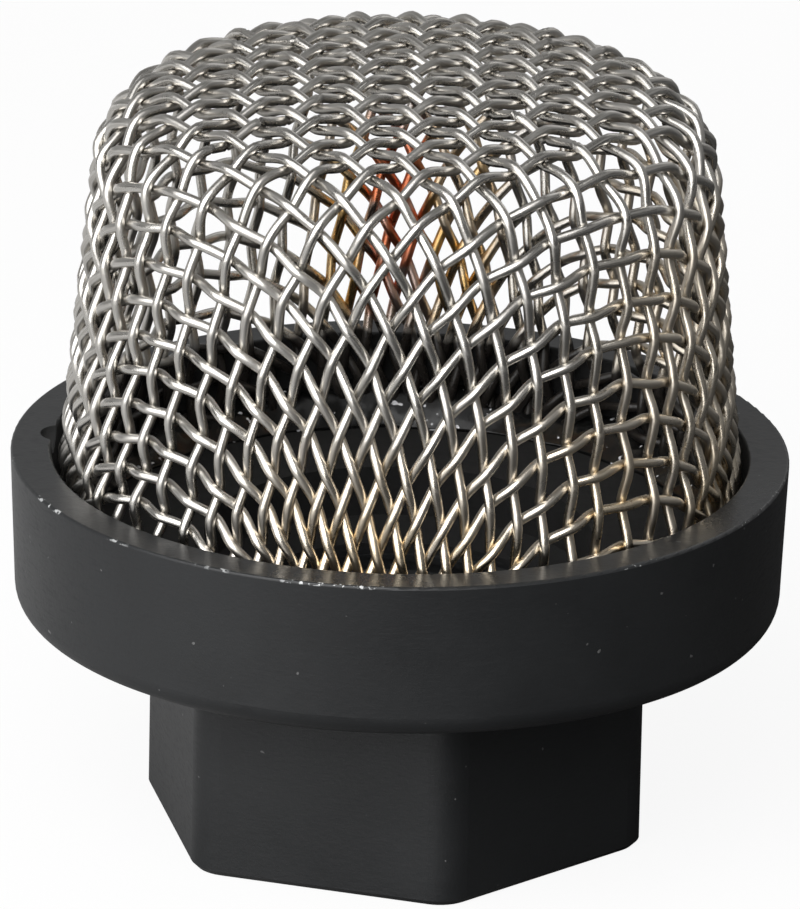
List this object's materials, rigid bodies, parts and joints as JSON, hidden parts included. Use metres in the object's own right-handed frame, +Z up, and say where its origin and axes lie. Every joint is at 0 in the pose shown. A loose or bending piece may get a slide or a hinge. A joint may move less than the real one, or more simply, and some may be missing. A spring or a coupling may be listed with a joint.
{
  "type": "pump strainer",
  "caption": "Pump inlet strainer: a dome of woven wire cloth held in the round cup of a plastic body, with a hexagonal boss and a threaded bore below.",
  "frame": {"origin": "centre of the hexagonal boss's lower face, on the bore's axis", "axes": "+Z up along the bore's axis towards the dome, -Y towards the camera of the picture"},
  "size_m": [0.054, 0.054, 0.0547],
  "materials": {
    "body_plastic": "satin moulded black plastic",
    "screen_wire": "bright drawn stainless wire with a warm tint",
    "adhesive": "glossy cured black adhesive"
  },
  "bodies": {
    "root": {"body": "body_plastic", "screen": "screen_wire", "adhesive_bead": "adhesive"}
  },
  "joints": []
}
